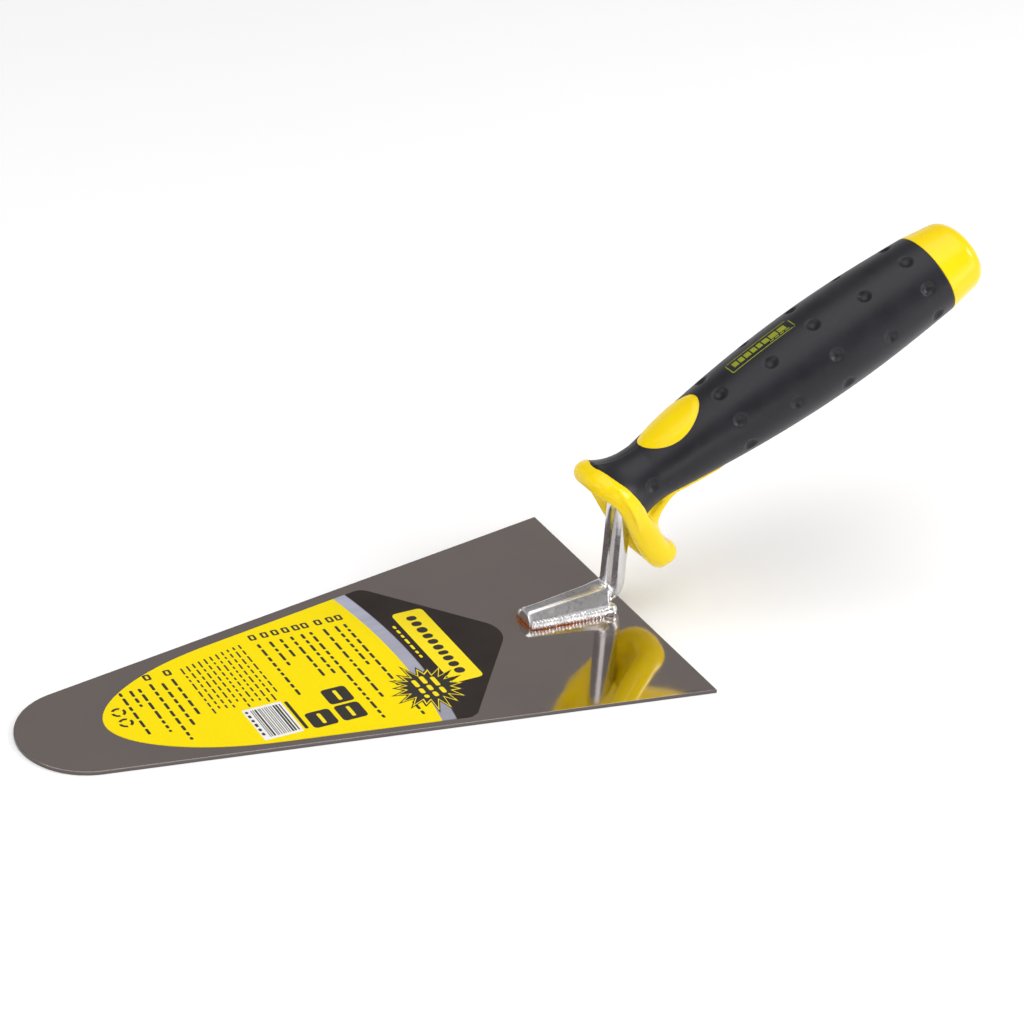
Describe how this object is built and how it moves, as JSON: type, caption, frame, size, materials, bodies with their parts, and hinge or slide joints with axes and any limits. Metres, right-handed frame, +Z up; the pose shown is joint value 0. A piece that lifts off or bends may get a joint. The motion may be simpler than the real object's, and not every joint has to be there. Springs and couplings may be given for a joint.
{
  "type": "brick trowel",
  "caption": "Round-nosed bricklaying trowel: flat tapered blade, welded steel tang and a moulded handle with finger guard and soft dimpled grip.",
  "frame": {"origin": "on the flat underside of the blade, below the axis of the tang's round stem", "axes": "+X from the heel to the nose of the blade, +Y to the blade's left side seen from the handle, +Z up out of the blade's top face"},
  "size_m": [0.3185, 0.111, 0.1118],
  "materials": {
    "blade_steel": "polished, finely brushed stainless sheet",
    "tang_steel": "bright forged steel with fine grain",
    "weld_metal": "bright rippled weld metal",
    "hard_plastic": "glossy moulded polypropylene",
    "soft_grip": "satin thermoplastic rubber",
    "label_film": "printed self-adhesive film, semi-gloss"
  },
  "bodies": {
    "root": {"blade": "blade_steel", "tang": "tang_steel", "weld_left": "weld_metal", "weld_right": "weld_metal", "handle_core": "hard_plastic", "grip_sleeve": "soft_grip", "end_cap": "hard_plastic", "label": "label_film"}
  },
  "joints": []
}
